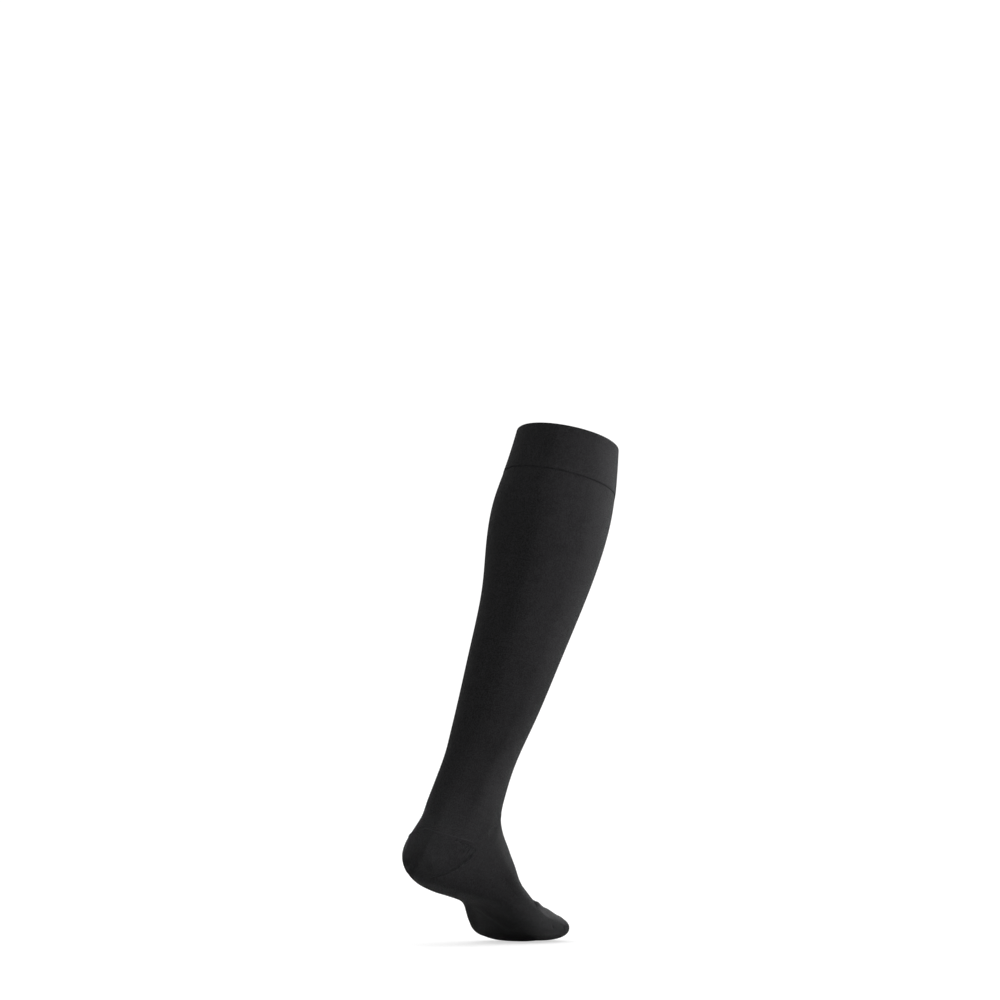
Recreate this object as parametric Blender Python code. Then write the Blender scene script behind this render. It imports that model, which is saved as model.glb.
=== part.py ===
"""A knee-high compression stocking for the right leg, closed at the toe, holding the shape it has when worn.

The stocking is one knitted tube. Its zones, each a solid of its own, are the doubled top band, the leg, the
heel pocket, the foot and the toe. The toes point to -Y, +X is the inner (medial) side of the leg and +Z is up.
The origin is the centre of the top band's edge, where the leg holds the stocking up. The heel is raised and
the toes rest on the floor.

Sizes are in millimetres and degrees in the tables below, and the finished meshes are in metres.
"""

from math import radians

import bmesh
import bpy
import numpy as np

# ---------------------------------------------------------------- driving sizes

MM = 0.001

LEG_LEAN = 21.6        # how far the leg's centre line leans forward from upright
HEEL_RAISE = 23.0      # angle between the sole and the floor, heel up
ANKLE = (54.0, 85.5)   # ankle centre: forward of the heel, above the sole
BALL = (156.0, 0.0)    # ball of the foot, where the sole bends and the floor begins

BAND_HEIGHT = 44.0     # doubled top band, in front
BAND_LOW_ANGLE = -147.0    # round from the front, where the band has slid down furthest
BAND_LOW_SPREAD = 2.5      # larger keeps the slide nearer to that place
EDGE_LOW = 3.4         # how far the top edge has slid down there
SEAM_LOW = 6.3         # and how far the course that the band is linked to
BAND_PROUD = 0.4       # the band's two layers stand this far out from the leg, and in from it
WALL = 1.2             # one layer of knit, with the room it takes on the leg
HEEL_PROUD = 0.2       # the heel's denser knit is thicker on its outer side
SEAM_GAP = 0.3         # clear space between neighbouring solids

# The leg, from the top down. "up" runs along the centre line from the ankle, "ahead" and "outward" move the
# section's centre off that line, "drop" tips its front down, and the four radii reach to the front, back,
# outer side and inner side of the leg.
LEG_COLUMNS = ("up", "ahead", "outward", "drop", "front", "back", "outer", "inner")
LEG_SECTIONS = (
    (355.2, 0, 16.0, -1.5, 45, 47, 47.0, 46.2),   # top edge, below the knee
    (316, 1, 16.5, 0, 49, 51, 52.2, 49.6),
    (278, 1, 16.0, 0, 52, 55, 54.4, 52.4),    # fullest part of the calf
    (237, 2, 16.0, 0, 50, 52, 50.0, 50.6),
    (194, 3, 14.0, 0, 46, 47, 44.0, 43.4),
    (143, 2, 10.0, 0, 42, 41, 39.0, 39.0),
    (97, 1, 6.0, 0, 38, 37, 35.0, 34.4),
    (58, 0, 3.0, 2, 33.5, 35, 29.5, 30.5),
    (30, -1, 1.0, 5, 34, 36, 27.5, 28.0),     # narrowest, above the ankle
)

# Round the heel and along the foot, as it is with its sole flat. Each section runs from a point on the instep
# to a point on the heel or sole, both given forward of the heel and above the sole. "split" is where between
# them it is widest, from the sole. "square" is how square its lower half is, and "arch" is the same above the
# widest line, where under 2 is more pointed. "keel" moves the lowest line outward, which leaves the hollow of
# the arch, and "crest" moves the top line inward.
FOOT_COLUMNS = ("top_y", "top_z", "low_y", "low_z", "split", "outer", "inner", "square", "arch", "keel", "crest")
FOOT_SECTIONS = (
    (88, 98, 11, 77.0, 0.50, 28.0, 28.5, 2.0, 2.0, 0, 0),      # above the heel
    (89.5, 91.5, 8.8, 58.0, 0.50, 29.0, 29.0, 2.1, 2.0, 0, 0),
    (95, 87.2, 2.0, 37.0, 0.48, 30.0, 31.0, 2.3, 1.95, 0, 1),
    (102, 84, 1.3, 15.5, 0.45, 31.0, 32.0, 2.4, 1.9, 0, 2),       # back of the heel
    (108.6, 79.8, 21, 3.5, 0.42, 33.2, 32.0, 2.3, 1.85, 0, 3),
    (115.3, 74.2, 46, 2.3, 0.40, 34.6, 30.0, 2.2, 1.8, 6, 4),
    (121.2, 66.7, 76, 6.0, 0.40, 34.8, 27.0, 2.2, 1.8, 14, 6),     # hollow of the arch
    (127.8, 57, 104, 6.0, 0.38, 34.4, 26.5, 2.2, 1.8, 13, 7),
    (136.7, 47.4, 132, 2.0, 0.36, 39.6, 34.0, 2.45, 1.85, 6, 6),
)

# The toes, flat on the floor: "along" runs forward from the ball of the foot, and the sole lifts off the
# floor towards the tip.
TOE_COLUMNS = ("along", "lift", "depth", "split", "outward", "outer", "inner", "square", "crest")
TOE_SECTIONS = (
    (4, 1.2, 38, 0.42, 0, 41.5, 40.0, 2.6, 5),
    (22, 0.3, 32.5, 0.45, 0, 41.0, 41, 2.4, 3),
    (40, 0.0, 27.0, 0.48, 0, 37.4, 38, 2.4, 2),
    (53, 0.8, 21.5, 0.50, -1, 29.0, 31, 2.2, 1),
    (62, 2.8, 14.5, 0.50, -3, 18.5, 22, 2.2, 0),
)
TIP_RADIUS = 24.0      # the round of the toe's end, which starts part of the way round
TIP_START = 45.0

# The heel pocket lies between two curves that meet in a corner on each side. They are given as places in the
# list of sections: 0 is the top edge, and each section adds 1.
COLUMN_COUNT = 38          # columns of points round the tube
ANGLE_STEP = 360.0 / COLUMN_COUNT
CORNER_ANGLE = 10 * ANGLE_STEP     # round from the front, on a column
CORNER_ROW = 11.90
POCKET_TOP_ROW = 10.70
POCKET_LOW_ROW = 12.86
POCKET_TOP_BEND = 0.62     # smaller is blunter at the corner
POCKET_LOW_BEND = 0.31
TOE_ROW = 18.9             # where the toe pocket is linked to the foot

# Mesh sizes
LEG_RINGS = 27
FOOT_RINGS = 19
BAND_RINGS = 5
TOE_RINGS = 7
HEEL_RINGS = 9
FOLD_STEPS = 3         # round of the band's turned edge
NORMAL_STEP = 0.01     # in rows and radians, when a normal is worked out
LENGTH_STEPS = 200     # places along a column when its length is worked out
MERGE_GAP = 0.01       # points nearer than this are one
SHARP_ANGLE = 40.0     # edges that bend more than this are not shaded smooth

COLOURS = {            # node: base colour, roughness
    "top_band": ((0.016, 0.016, 0.018), 0.85),
    "leg": ((0.018, 0.018, 0.020), 0.85),
    "heel": ((0.013, 0.013, 0.015), 0.90),
    "foot": ((0.018, 0.018, 0.020), 0.85),
    "toe": ((0.019, 0.019, 0.021), 0.85),
}

# ---------------------------------------------------------------- the form

FIELDS = ("top_y", "top_z", "low_y", "low_z", "split", "outward", "outer", "inner",
          "square", "arch", "keel", "crest")


def leg_section(up, ahead, outward, drop, front, back, outer, inner):
    """One section of the leg, given the foot's way: a point at its front and one at its back."""
    lean = radians(LEG_LEAN - HEEL_RAISE)
    tip = lean + radians(drop)
    along = np.array((np.sin(lean), np.cos(lean)))
    forward = np.array((np.cos(lean), -np.sin(lean)))
    across = np.array((np.cos(tip), -np.sin(tip)))
    centre = np.array(ANKLE) + along * up + forward * ahead
    front_point = centre + across * front
    back_point = centre - across * back
    split = back / (front + back)
    return (*front_point, *back_point, split, outward, outer, inner, 2.0, 2.0, 0.0, 0.0)


def foot_section(top_y, top_z, low_y, low_z, split, outer, inner, square, arch, keel, crest):
    """One section of the foot, which the table already gives by its two points."""
    return (top_y, top_z, low_y, low_z, split, 0.0, outer, inner, square, arch, keel, crest)


def toe_section(along, lift, depth, split, outward, outer, inner, square, crest):
    """One upright section of the toes, turned back into the frame of the flat foot."""
    raised = radians(HEEL_RAISE)
    floor_way = np.array((np.cos(raised), np.sin(raised)))
    upright = np.array((-np.sin(raised), np.cos(raised)))
    low = np.array(BALL) + floor_way * along + upright * lift
    top = low + upright * depth
    return (*top, *low, split, outward, outer, inner, square, 2.0, 0.0, crest)


def all_sections():
    """Every section from the top edge to the toes, one row each."""
    rows = [leg_section(**dict(zip(LEG_COLUMNS, row))) for row in LEG_SECTIONS]
    rows += [foot_section(**dict(zip(FOOT_COLUMNS, row))) for row in FOOT_SECTIONS]
    rows += [toe_section(**dict(zip(TOE_COLUMNS, row))) for row in TOE_SECTIONS]
    return np.array(rows, dtype=float)


SECTIONS = all_sections()
LAST_ROW = len(SECTIONS) - 1


def spline_bends(points):
    """Second derivatives of the natural cubic through the rows, one row apart."""
    count = len(points)
    matrix = np.eye(count)
    right = np.zeros_like(points)
    for i in range(1, count - 1):
        matrix[i, i - 1:i + 2] = 1.0, 4.0, 1.0
        right[i] = 6.0 * (points[i + 1] - 2.0 * points[i] + points[i - 1])
    return np.linalg.solve(matrix, right)


BENDS = spline_bends(SECTIONS)


def section_at(row):
    """The section's values at any place between the rows of the tables."""
    i = np.clip(np.floor(row).astype(int), 0, LAST_ROW - 1)
    t = (row - i)[..., None]
    near, far = 1.0 - t, t
    values = near * SECTIONS[i] + far * SECTIONS[i + 1]
    values += ((near ** 3 - near) * BENDS[i] + (far ** 3 - far) * BENDS[i + 1]) / 6.0
    return dict(zip(FIELDS, np.moveaxis(values, -1, 0)))


def rounded(value, square):
    """A cosine or sine, made squarer where the exponent is over 2."""
    return np.sign(value) * np.abs(value) ** (2.0 / square)


def form(row, angle):
    """Points of the stocking's outer face, as an array (..., 3) in the part's frame, in millimetres.

    The angle runs round the section from its front, towards the inner side. Past the last row the toe's
    tip closes in a round.
    """
    row, angle = np.broadcast_arrays(np.asarray(row, float), np.asarray(angle, float))
    s = section_at(np.minimum(row, LAST_ROW))
    past = np.clip(row - LAST_ROW, 0.0, 1.0)
    start = radians(TIP_START)
    turn = start + past * (np.pi / 2 - start)
    shrink = np.cos(turn) / np.cos(start)
    ahead = TIP_RADIUS * (np.sin(turn) - np.sin(start))

    c, w = np.cos(angle), np.sin(angle)
    square = np.where(c > 0, s["arch"], s["square"])
    c, w = rounded(c, square), rounded(w, square)
    depth = np.where(c > 0, 1.0 - s["split"], s["split"]) * c * shrink
    width = np.where(w > 0, s["inner"], s["outer"]) * w * shrink
    # a closing tip shrinks towards the middle of its last section
    middle = s["split"] + (0.5 - s["split"]) * (1.0 - shrink)
    forward = s["low_y"] + (s["top_y"] - s["low_y"]) * (middle + depth)
    above = s["low_z"] + (s["top_z"] - s["low_z"]) * (middle + depth)
    sway = np.where(c < 0, s["keel"], -s["crest"]) * c * c * shrink
    outward = s["outward"] - width + sway

    raised = radians(HEEL_RAISE)
    y = forward * np.cos(raised) + above * np.sin(raised) + ahead
    z = above * np.cos(raised) - forward * np.sin(raised)
    return np.stack((-outward, -y, z), axis=-1)


def low_share(angle):
    """1 where the band has slid down furthest, 0 on the far side of the leg."""
    return (0.5 + 0.5 * np.cos(angle - radians(BAND_LOW_ANGLE))) ** BAND_LOW_SPREAD


def row_below_top(distance):
    """Row at this distance below the top section, measured along the leg's centre line."""
    places = LEG_SECTIONS[0][0] - np.array([row[0] for row in LEG_SECTIONS], dtype=float)
    return np.interp(distance, places, range(len(places)))


def edge_row(angle):
    """Row of the band's top edge."""
    return row_below_top(EDGE_LOW * low_share(angle))


def band_row(angle):
    """Row of the course that the band is linked down to."""
    return row_below_top(BAND_HEIGHT + SEAM_LOW * low_share(angle))


def band_centre():
    """The middle of the top edge, which is the part's origin."""
    sides = np.radians((0.0, 90.0, 180.0, 270.0))
    return form(edge_row(sides), sides).mean(axis=0)


ORIGIN = band_centre()


def outward_normal(row, angle):
    """Unit normals of the form, pointing out of the leg."""
    down = form(row + NORMAL_STEP, angle) - form(np.maximum(row - NORMAL_STEP, 0.0), angle)
    round_ = form(row, angle + NORMAL_STEP) - form(row, angle - NORMAL_STEP)
    normal = np.cross(down, round_)
    return normal / np.maximum(np.linalg.norm(normal, axis=-1, keepdims=True), 1e-9)


def skin_points(row, angle, inward=0.0):
    """Points of the form moved in along its normals, or out for a negative distance, from the origin."""
    return form(row, angle) - ORIGIN - outward_normal(row, angle) * inward


def rows_along(angle, first, last, count, trim_first=0.0, trim_last=0.0):
    """Places evenly spaced along one column of the form, with a trim in millimetres at either end."""
    fine = np.linspace(first, last, LENGTH_STEPS)
    points = form(fine, angle)
    length = np.concatenate(((0.0,), np.cumsum(np.linalg.norm(np.diff(points, axis=0), axis=1))))
    wanted = np.linspace(trim_first, length[-1] - trim_last, count)
    return np.interp(wanted, length, fine)


# ---------------------------------------------------------------- the zones' edges

def columns(first=-180.0, last=180.0 - ANGLE_STEP):
    """Angles of the columns of points, in radians."""
    count = int(round((last - first) / ANGLE_STEP)) + 1
    return np.radians(np.linspace(first, last, count))


def pocket_share(angle):
    """0 at the heel pocket's corners and in front of them, 1 in the middle of the back."""
    from_front = np.degrees(abs(angle))
    return min(1.0, max(0.0, (from_front - CORNER_ANGLE) / (180.0 - CORNER_ANGLE)))


def pocket_top(angle):
    """Row of the edge where the leg ends: the pocket's upper edge behind, the instep line in front."""
    return CORNER_ROW + (POCKET_TOP_ROW - CORNER_ROW) * pocket_share(angle) ** POCKET_TOP_BEND


def pocket_low(angle):
    """Row of the edge where the foot begins: the pocket's lower edge behind, the instep line in front."""
    return CORNER_ROW + (POCKET_LOW_ROW - CORNER_ROW) * pocket_share(angle) ** POCKET_LOW_BEND


# ---------------------------------------------------------------- meshes

def make_solid(name, loops, chain_closed):
    """One closed mesh from loops of points, each bridged to the next; equal points become one."""
    bm = bmesh.new()
    rows = [[bm.verts.new(point * MM) for point in loop] for loop in loops]
    pairs = list(zip(rows, rows[1:]))
    if chain_closed:
        pairs.append((rows[-1], rows[0]))
    for here, there in pairs:
        for i in range(len(here)):
            j = (i + 1) % len(here)
            bm.faces.new((here[i], here[j], there[j], there[i]))
    bmesh.ops.remove_doubles(bm, verts=bm.verts, dist=MERGE_GAP * MM)
    bmesh.ops.recalc_face_normals(bm, faces=bm.faces)
    mesh = bpy.data.meshes.new(name)
    bm.to_mesh(mesh)
    bm.free()
    mesh.shade_smooth()
    mesh.set_sharp_from_angle(angle=radians(SHARP_ANGLE))
    mesh.materials.append(cloth_material(name))
    solid = bpy.data.objects.new(name, mesh)
    bpy.context.collection.objects.link(solid)
    return solid


def cloth_material(name):
    colour, roughness = COLOURS[name]
    material = bpy.data.materials.new(name + "_knit")
    material.use_nodes = True
    shader = material.node_tree.nodes["Principled BSDF"]
    shader.inputs["Base Color"].default_value = (*colour, 1.0)
    shader.inputs["Roughness"].default_value = roughness
    shader.inputs["Metallic"].default_value = 0.0
    return material


def tube_wall(name, start, end, rings, outer_inset, inner_inset):
    """A knitted tube: rings down its outer face and back up its inner face.

    start and end give the row of either edge at an angle, each with the trim of half a seam gap.
    """
    angles = columns()
    half = SEAM_GAP / 2
    places = np.array([rows_along(a, start(a), end(a), rings, half, half) for a in angles])
    outer = [skin_points(places[:, k], angles, outer_inset) for k in range(rings)]
    inner = [skin_points(places[:, k], angles, inner_inset) for k in range(rings)]
    return make_solid(name, outer + inner[::-1], chain_closed=True)


def top_band():
    """The doubled band: its two layers are one wall, turned over in a small round at the top edge."""
    angles = columns()
    out, inside = -BAND_PROUD, WALL + BAND_PROUD
    middle, radius = (out + inside) / 2, (inside - out) / 2
    half = SEAM_GAP / 2
    places = np.array([rows_along(a, edge_row(a), band_row(a), BAND_RINGS, radius, half) for a in angles])
    outer = [skin_points(places[:, k], angles, out) for k in range(BAND_RINGS)]
    inner = [skin_points(places[:, k], angles, inside) for k in range(BAND_RINGS)]
    fold = []
    for turn in np.linspace(0.0, np.pi, FOLD_STEPS + 2)[1:-1]:
        rise = radius * np.sin(turn)
        rows = np.array([rows_along(a, edge_row(a), band_row(a), 2, radius - rise)[0] for a in angles])
        fold.append(skin_points(rows, angles, middle + radius * np.cos(turn)))
    return make_solid("top_band", outer + inner[::-1] + fold, chain_closed=True)


def heel_pocket():
    """The pocket: one closed loop of points round its wall at each column, drawn to a point at either corner."""
    first = CORNER_ANGLE + ANGLE_STEP
    angles = columns(first, 360.0 - first)
    corner_clear = radians(CORNER_ANGLE + ANGLE_STEP / 6)
    loops = [corner_loop(corner_clear)]
    for a in angles:
        back = a if a <= np.pi else a - 2 * np.pi
        rows = rows_along(back, pocket_top(back), pocket_low(back), HEEL_RINGS, SEAM_GAP / 2, SEAM_GAP / 2)
        outer = skin_points(rows, np.full(HEEL_RINGS, back), -HEEL_PROUD)
        inner = skin_points(rows, np.full(HEEL_RINGS, back), WALL)
        loops.append(np.concatenate((outer, inner[::-1])))
    loops.append(corner_loop(-corner_clear))
    return make_solid("heel", loops, chain_closed=False)


def corner_loop(angle):
    """The pocket's corner, where every point of its outer face meets in one, and so do those inside."""
    outer = skin_points(np.full(HEEL_RINGS, CORNER_ROW), np.full(HEEL_RINGS, angle), 0.0)
    inner = skin_points(np.full(HEEL_RINGS, CORNER_ROW), np.full(HEEL_RINGS, angle), WALL)
    return np.concatenate((outer, inner))


def toe_pocket():
    """The closed toe: from the tip's outer point back to the rim, and inside to the tip again."""
    angles = columns()
    places = np.array([rows_along(a, TOE_ROW, LAST_ROW + 1.0, TOE_RINGS + 1, SEAM_GAP / 2) for a in angles])
    outer = [skin_points(places[:, k], angles, 0.0) for k in range(TOE_RINGS)]
    inner = [skin_points(places[:, k], angles, WALL) for k in range(TOE_RINGS)]
    tip = form(LAST_ROW + 1.0, 0.0) - ORIGIN
    outer_tip = np.tile(tip, (len(angles), 1))
    inner_tip = outer_tip + np.array((0.0, WALL, 0.0))
    loops = [outer_tip] + outer[::-1] + inner + [inner_tip]
    return make_solid("toe", loops, chain_closed=False)


def make_stocking():
    for old in list(bpy.data.objects):
        bpy.data.objects.remove(old, do_unlink=True)
    top_band()
    tube_wall("leg", band_row, pocket_top, LEG_RINGS, 0.0, WALL)
    heel_pocket()
    tube_wall("foot", pocket_low, lambda a: TOE_ROW, FOOT_RINGS, 0.0, WALL)
    toe_pocket()


make_stocking()
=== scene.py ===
# %% [markdown]
# # A knee-high compression stocking
# A stocking of this kind comes off a circular knitting machine as one tube. The machine makes the doubled
# top band first, then the graduated leg, then it turns back and forth to knit a pouch for the heel, and
# goes round again for the foot. The toe is closed by linking its last loops together. The stocking here
# keeps the shape it has when worn, hollow, with the heel raised and the toes on the floor. The packed
# solids come first. They fix every size and place, and each piece below is made on their form.

from functools import partial
from math import pi, radians

import bmesh
import bpy
import numpy as np
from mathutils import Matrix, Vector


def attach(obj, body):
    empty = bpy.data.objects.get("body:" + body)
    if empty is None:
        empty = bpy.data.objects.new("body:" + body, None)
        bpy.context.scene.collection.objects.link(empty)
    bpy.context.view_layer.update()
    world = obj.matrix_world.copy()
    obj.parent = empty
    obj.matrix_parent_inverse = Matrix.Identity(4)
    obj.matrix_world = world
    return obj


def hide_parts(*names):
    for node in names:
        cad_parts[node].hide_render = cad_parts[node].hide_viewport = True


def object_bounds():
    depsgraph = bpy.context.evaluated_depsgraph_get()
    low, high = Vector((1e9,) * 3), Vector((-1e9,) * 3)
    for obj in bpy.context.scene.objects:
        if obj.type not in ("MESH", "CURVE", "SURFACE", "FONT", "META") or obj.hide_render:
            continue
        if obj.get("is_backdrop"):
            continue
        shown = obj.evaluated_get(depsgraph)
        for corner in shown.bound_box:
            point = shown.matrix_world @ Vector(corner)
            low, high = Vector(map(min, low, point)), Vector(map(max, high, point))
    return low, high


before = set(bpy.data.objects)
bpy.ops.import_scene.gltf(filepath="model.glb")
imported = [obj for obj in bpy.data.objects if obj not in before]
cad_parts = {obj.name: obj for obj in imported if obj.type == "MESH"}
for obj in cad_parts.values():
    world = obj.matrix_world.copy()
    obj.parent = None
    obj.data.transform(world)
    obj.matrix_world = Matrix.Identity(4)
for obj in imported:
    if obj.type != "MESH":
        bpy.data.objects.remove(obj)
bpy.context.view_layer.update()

# %% [markdown]
# ## The form in numbers
# A tube that changes shape is easiest to describe by its cross-sections. Each row below is one section of
# the stocking, from the top edge to the toes, in millimetres and degrees. The same tables made the solids,
# so the cloth lies exactly on them. A spline runs through the rows, which gives a section at any place
# between two.

# %% Pose and sizes
MM = 0.001
LEG_LEAN = 21.6         # the leg's centre line leans forward
HEEL_RAISE = 23.0       # the sole's angle to the floor
ANKLE = (54.0, 85.5)    # forward of the heel, above the sole
BALL = (156.0, 0.0)
BAND_HEIGHT = 44.0
BAND_LOW_ANGLE = -147.0     # where the band has slid down furthest, round from the front
BAND_LOW_SPREAD = 2.5       # larger keeps the low place narrower
EDGE_LOW = 3.4          # how far its top edge has slid down there
SEAM_LOW = 6.3          # and how far the course that it is linked to
BAND_PROUD = 0.4        # how far the doubled band stands out on either side of the leg's wall
WALL = 1.2              # one layer of knit
TIP_RADIUS = 24.0       # the round of the toe's end
TIP_START = 45.0        # degrees round it at which the last section meets it

LEG_COLUMNS = ("up", "ahead", "outward", "drop", "front", "back", "outer", "inner")
LEG_SECTIONS = (
    (355.2, 0, 16, -1.5, 45, 47, 47, 46.2),
    (316, 1, 16.5, 0, 49, 51, 52.2, 49.6),
    (278, 1, 16, 0, 52, 55, 54.4, 52.4),
    (237, 2, 16, 0, 50, 52, 50, 50.6),
    (194, 3, 14, 0, 46, 47, 44, 43.4),
    (143, 2, 10, 0, 42, 41, 39, 39),
    (97, 1, 6, 0, 38, 37, 35, 34.4),
    (58, 0, 3, 2, 33.5, 35, 29.5, 30.5),
    (30, -1, 1, 5, 34, 36, 27.5, 28),
)
FOOT_COLUMNS = ("top_y", "top_z", "low_y", "low_z", "split", "outer", "inner", "square", "arch",
                "keel", "crest")
FOOT_SECTIONS = (
    (88, 98, 11, 77, 0.5, 28, 28.5, 2, 2, 0, 0),
    (89.5, 91.5, 8.8, 58, 0.5, 29, 29, 2.1, 2, 0, 0),
    (95, 87.2, 2, 37, 0.48, 30, 31, 2.3, 1.95, 0, 1),
    (102, 84, 1.3, 15.5, 0.45, 31, 32, 2.4, 1.9, 0, 2),
    (108.6, 79.8, 21, 3.5, 0.42, 33.2, 32, 2.3, 1.85, 0, 3),
    (115.3, 74.2, 46, 2.3, 0.4, 34.6, 30, 2.2, 1.8, 6, 4),
    (121.2, 66.7, 76, 6, 0.4, 34.8, 27, 2.2, 1.8, 14, 6),
    (127.8, 57, 104, 6, 0.38, 34.4, 26.5, 2.2, 1.8, 13, 7),
    (136.7, 47.4, 132, 2, 0.36, 39.6, 34, 2.45, 1.85, 6, 6),
)
TOE_COLUMNS = ("along", "lift", "depth", "split", "outward", "outer", "inner", "square", "crest")
TOE_SECTIONS = (
    (4, 1.2, 38, 0.42, 0, 41.5, 40, 2.6, 5),
    (22, 0.3, 32.5, 0.45, 0, 41, 41, 2.4, 3),
    (40, 0, 27, 0.48, 0, 37.4, 38, 2.4, 2),
    (53, 0.8, 21.5, 0.5, -1, 29, 31, 2.2, 1),
    (62, 2.8, 14.5, 0.5, -3, 18.5, 22, 2.2, 0),
)
print("sections:", len(LEG_SECTIONS), "leg,", len(FOOT_SECTIONS), "foot,", len(TOE_SECTIONS), "toe")

# %% Every section as one kind of row
FIELDS = ("top_y", "top_z", "low_y", "low_z", "split", "outward", "outer", "inner",
          "square", "arch", "keel", "crest")


def leg_section(up, ahead, outward, drop, front, back, outer, inner):
    """A section across the leg, given by a point at its front and one at its back."""
    lean = radians(LEG_LEAN - HEEL_RAISE)
    tip = lean + radians(drop)
    along = np.array((np.sin(lean), np.cos(lean)))
    forward = np.array((np.cos(lean), -np.sin(lean)))
    across = np.array((np.cos(tip), -np.sin(tip)))
    centre = np.array(ANKLE) + along * up + forward * ahead
    front_point, back_point = centre + across * front, centre - across * back
    return (*front_point, *back_point, back / (front + back), outward, outer, inner, 2.0, 2.0, 0.0, 0.0)


def foot_section(top_y, top_z, low_y, low_z, split, outer, inner, square, arch, keel, crest):
    """A section of the foot, from a point on the instep to one on the sole."""
    return (top_y, top_z, low_y, low_z, split, 0.0, outer, inner, square, arch, keel, crest)


def toe_section(along, lift, depth, split, outward, outer, inner, square, crest):
    """An upright section of the toes, which lie flat on the floor while the heel is up."""
    raised = radians(HEEL_RAISE)
    floor_way = np.array((np.cos(raised), np.sin(raised)))
    upright = np.array((-np.sin(raised), np.cos(raised)))
    low = np.array(BALL) + floor_way * along + upright * lift
    return (*(low + upright * depth), *low, split, outward, outer, inner, square, 2.0, 0.0, crest)


TABLES = (
    (leg_section, LEG_COLUMNS, LEG_SECTIONS),
    (foot_section, FOOT_COLUMNS, FOOT_SECTIONS),
    (toe_section, TOE_COLUMNS, TOE_SECTIONS),
)
SECTIONS = np.array([section(**dict(zip(columns, row)))
                     for section, columns, rows in TABLES for row in rows])
LAST_ROW = len(SECTIONS) - 1
print("rows:", LAST_ROW + 1)

# %% A spline through the sections


def spline_bends(points):
    """Second derivatives of the natural cubic through the rows, one row apart."""
    matrix = np.eye(len(points))
    right = np.zeros_like(points)
    for i in range(1, len(points) - 1):
        matrix[i, i - 1:i + 2] = 1.0, 4.0, 1.0
        right[i] = 6.0 * (points[i + 1] - 2.0 * points[i] + points[i - 1])
    return np.linalg.solve(matrix, right)


BENDS = spline_bends(SECTIONS)


def section_at(row):
    """Every field of the section at a row, which may lie between two."""
    i = np.clip(np.floor(row).astype(int), 0, LAST_ROW - 1)
    far = (row - i)[..., None]
    near = 1.0 - far
    values = near * SECTIONS[i] + far * SECTIONS[i + 1]
    values += ((near ** 3 - near) * BENDS[i] + (far ** 3 - far) * BENDS[i + 1]) / 6.0
    return dict(zip(FIELDS, np.moveaxis(values, -1, 0)))


print("sharpest bend of a field:", round(float(np.abs(BENDS).max()), 1))

# %% The form round every section


def rounded(value, square):
    """A sine or cosine pushed outwards: a square of 2 keeps the circle, and more makes it boxier."""
    return np.sign(value) * np.abs(value) ** (2.0 / square)


def raw_form(row, angle):
    """Points of the stocking's outer face in mm. Angle 0 is the front and runs to the inner side."""
    row, angle = np.broadcast_arrays(np.asarray(row, float), np.asarray(angle, float))
    s = section_at(np.minimum(row, LAST_ROW))
    past = np.clip(row - LAST_ROW, 0.0, 1.0)
    start = radians(TIP_START)
    turn = start + past * (pi / 2 - start)
    shrink = np.cos(turn) / np.cos(start)
    ahead = TIP_RADIUS * (np.sin(turn) - np.sin(start))
    c, w = np.cos(angle), np.sin(angle)
    square = np.where(c > 0, s["arch"], s["square"])
    c, w = rounded(c, square), rounded(w, square)
    depth = np.where(c > 0, 1.0 - s["split"], s["split"]) * c * shrink
    width = np.where(w > 0, s["inner"], s["outer"]) * w * shrink
    middle = s["split"] + (0.5 - s["split"]) * (1.0 - shrink)
    forward = s["low_y"] + (s["top_y"] - s["low_y"]) * (middle + depth)
    above = s["low_z"] + (s["top_z"] - s["low_z"]) * (middle + depth)
    sway = np.where(c < 0, s["keel"], -s["crest"]) * c * c * shrink
    raised = radians(HEEL_RAISE)
    y = forward * np.cos(raised) + above * np.sin(raised) + ahead
    z = above * np.cos(raised) - forward * np.sin(raised)
    return np.stack((width - sway - s["outward"], -y, z), axis=-1)


print("front of the top section, mm:", np.round(raw_form(0, 0), 1))

# %% Edges of the band, the origin and the way out of the cloth
LEG_UPS = np.array(LEG_SECTIONS, dtype=float)[:, 0]
SIDES = np.radians((0.0, 90.0, 180.0, 270.0))
NORMAL_STEP = 0.01      # rows and radians
SHORTEST = 1e-9         # no vector is divided by less


def lowered_row(distance, slide, angle):
    """Row at this distance below the top section, and lower where the band has slid down."""
    share = (0.5 + 0.5 * np.cos(angle - radians(BAND_LOW_ANGLE))) ** BAND_LOW_SPREAD
    return np.interp(distance + slide * share, LEG_UPS[0] - LEG_UPS, range(len(LEG_UPS)))


def edge_row(angle):
    """The stocking's top edge."""
    return lowered_row(0.0, EDGE_LOW, angle)


def band_row(angle):
    """The course that the band is linked to."""
    return lowered_row(BAND_HEIGHT, SEAM_LOW, angle)


ORIGIN = raw_form(edge_row(SIDES), SIDES).mean(axis=0)


def form(row, angle):
    return raw_form(row, angle) - ORIGIN


def unit(vectors):
    return vectors / np.maximum(np.linalg.norm(vectors, axis=-1, keepdims=True), SHORTEST)


def outward_normal(row, angle):
    down = form(row + NORMAL_STEP, angle) - form(np.maximum(row - NORMAL_STEP, 0.0), angle)
    around = form(row, angle + NORMAL_STEP) - form(row, angle - NORMAL_STEP)
    return unit(np.cross(down, around))


every_row, every_angle = np.meshgrid(range(LAST_ROW + 1), np.radians(range(0, 360, 5)))
print("lowest point, mm:", round(float(form(every_row, every_angle)[..., 2].min()), 1))

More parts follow.
